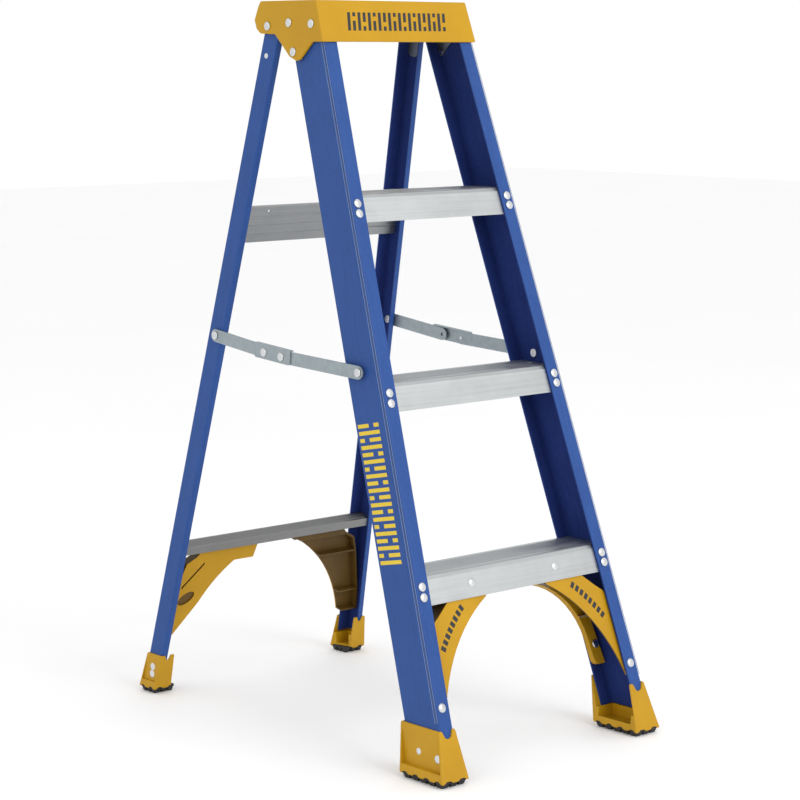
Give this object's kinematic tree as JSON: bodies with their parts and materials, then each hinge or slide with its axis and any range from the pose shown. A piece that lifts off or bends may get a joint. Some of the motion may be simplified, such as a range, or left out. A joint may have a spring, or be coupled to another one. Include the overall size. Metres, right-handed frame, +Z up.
{
  "type": "step ladder",
  "caption": "Folding step ladder: two channel-rail sections hinged under a moulded top cap, folding spreader bars, corner braces and tapered rubber-soled feet.",
  "frame": {"origin": "on the floor, midway between the front and the rear feet and between the left and the right side", "axes": "+Z up; -Y is the side that is climbed, so the rear section stands towards +Y; +X is to the right of someone who climbs"},
  "size_m": [0.4842, 0.7862, 1.1864],
  "materials": {
    "blue_fibreglass": "pultruded fibreglass channel, satin gloss, faint surface veil",
    "yellow_cap_plastic": "moulded plastic, satin, fine grain",
    "yellow_foot_plastic": "moulded plastic, satin, fine grain",
    "mill_aluminium": "extruded, mill finish, grooves along the tread",
    "galvanised_steel": "galvanised strip, dull grey",
    "plated_steel": "zinc plated sheet",
    "bright_rivet": "bright domed rivet heads",
    "black_rubber": "moulded rubber, matt, ribbed sole"
  },
  "bodies": {
    "front_section": {"top_cap": "yellow_cap_plastic", "step_top": "mill_aluminium", "step_middle": "mill_aluminium", "step_bottom": "mill_aluminium", "front_rail_left": "blue_fibreglass", "cap_bracket_left": "plated_steel", "front_shoe_left": "yellow_foot_plastic", "front_shoe_tread_left": "black_rubber", "front_brace_left": "yellow_foot_plastic", "cap_rivet_front_left": "bright_rivet", "cap_rivet_rear_left": "bright_rivet", "cap_rivet_lower_left": "bright_rivet", "rear_hinge_rivet_left": "bright_rivet", "spreader_front_pivot_left": "bright_rivet", "top_step_rivet_upper_left": "bright_rivet", "top_step_rivet_lower_left": "bright_rivet", "middle_step_rivet_upper_left": "bright_rivet", "middle_step_rivet_lower_left": "bright_rivet", "bottom_step_rivet_upper_left": "bright_rivet", "bottom_step_rivet_lower_left": "bright_rivet", "front_rail_right": "blue_fibreglass", "cap_bracket_right": "plated_steel", "front_shoe_right": "yellow_foot_plastic", "front_shoe_tread_right": "black_rubber", "front_brace_right": "yellow_foot_plastic", "cap_rivet_front_right": "bright_rivet", "cap_rivet_rear_right": "bright_rivet", "cap_rivet_lower_right": "bright_rivet", "rear_hinge_rivet_right": "bright_rivet", "spreader_front_pivot_right": "bright_rivet", "top_step_rivet_upper_right": "bright_rivet", "top_step_rivet_lower_right": "bright_rivet", "middle_step_rivet_upper_right": "bright_rivet", "middle_step_rivet_lower_right": "bright_rivet", "bottom_step_rivet_upper_right": "bright_rivet", "bottom_step_rivet_lower_right": "bright_rivet"},
    "rear_section": {"rear_horizontal_upper": "mill_aluminium", "rear_horizontal_lower": "mill_aluminium", "rear_rail_left": "blue_fibreglass", "rear_hinge_plate_left": "plated_steel", "rear_shoe_left": "yellow_foot_plastic", "rear_shoe_tread_left": "black_rubber", "rear_brace_left": "yellow_foot_plastic", "spreader_rear_pivot_left": "bright_rivet", "rear_rail_right": "blue_fibreglass", "rear_hinge_plate_right": "plated_steel", "rear_shoe_right": "yellow_foot_plastic", "rear_shoe_tread_right": "black_rubber", "rear_brace_right": "yellow_foot_plastic", "spreader_rear_pivot_right": "bright_rivet"},
    "spreader_front_arm_left": {"spreader_front_bar_left": "galvanised_steel"},
    "spreader_plate_left": {"spreader_lock_plate_left": "galvanised_steel", "lock_plate_front_rivet_left": "bright_rivet", "lock_plate_rear_rivet_left": "bright_rivet"},
    "spreader_rear_arm_left": {"spreader_rear_bar_left": "galvanised_steel"},
    "spreader_front_arm_right": {"spreader_front_bar_right": "galvanised_steel"},
    "spreader_plate_right": {"spreader_lock_plate_right": "galvanised_steel", "lock_plate_front_rivet_right": "bright_rivet", "lock_plate_rear_rivet_right": "bright_rivet"},
    "spreader_rear_arm_right": {"spreader_rear_bar_right": "galvanised_steel"}
  },
  "joints": [
    {"name": "rear_fold", "type": "hinge", "parent": "front_section", "child": "rear_section", "pos_m": [0, 0.1145, 1.146], "axis": [-1, 0, 0], "range_deg": [0, 29.5]},
    {"name": "spreader_front_fold_left", "type": "hinge", "parent": "front_section", "child": "spreader_front_arm_left", "pos_m": [-0.195, -0.1486, 0.6087], "axis": [1, 0, 0], "range_deg": [0, 70]},
    {"name": "spreader_plate_fold_left", "type": "hinge", "parent": "spreader_front_arm_left", "child": "spreader_plate_left", "pos_m": [-0.195, 0.0408, 0.6162], "axis": [-1, 0, 0], "range_deg": [0, 78]},
    {"name": "spreader_rear_fold_left", "type": "hinge", "parent": "rear_section", "child": "spreader_rear_arm_left", "pos_m": [-0.195, 0.2215, 0.6351], "axis": [-1, 0, 0], "range_deg": [0, 68]},
    {"name": "spreader_front_fold_right", "type": "hinge", "parent": "front_section", "child": "spreader_front_arm_right", "pos_m": [0.195, -0.1486, 0.6087], "axis": [1, 0, 0], "range_deg": [0, 70]},
    {"name": "spreader_plate_fold_right", "type": "hinge", "parent": "spreader_front_arm_right", "child": "spreader_plate_right", "pos_m": [0.195, 0.0408, 0.6162], "axis": [-1, 0, 0], "range_deg": [0, 78]},
    {"name": "spreader_rear_fold_right", "type": "hinge", "parent": "rear_section", "child": "spreader_rear_arm_right", "pos_m": [0.195, 0.2215, 0.6351], "axis": [-1, 0, 0], "range_deg": [0, 68]}
  ],
  "couplings": [
    {"joint": "spreader_front_fold_left", "follows": "rear_fold", "ratio": 2.3519},
    {"joint": "spreader_plate_fold_left", "follows": "rear_fold", "ratio": 2.6146},
    {"joint": "spreader_rear_fold_left", "follows": "rear_fold", "ratio": 2.2653},
    {"joint": "spreader_front_fold_right", "follows": "rear_fold", "ratio": 2.3519},
    {"joint": "spreader_plate_fold_right", "follows": "rear_fold", "ratio": 2.6146},
    {"joint": "spreader_rear_fold_right", "follows": "rear_fold", "ratio": 2.2653}
  ]
}
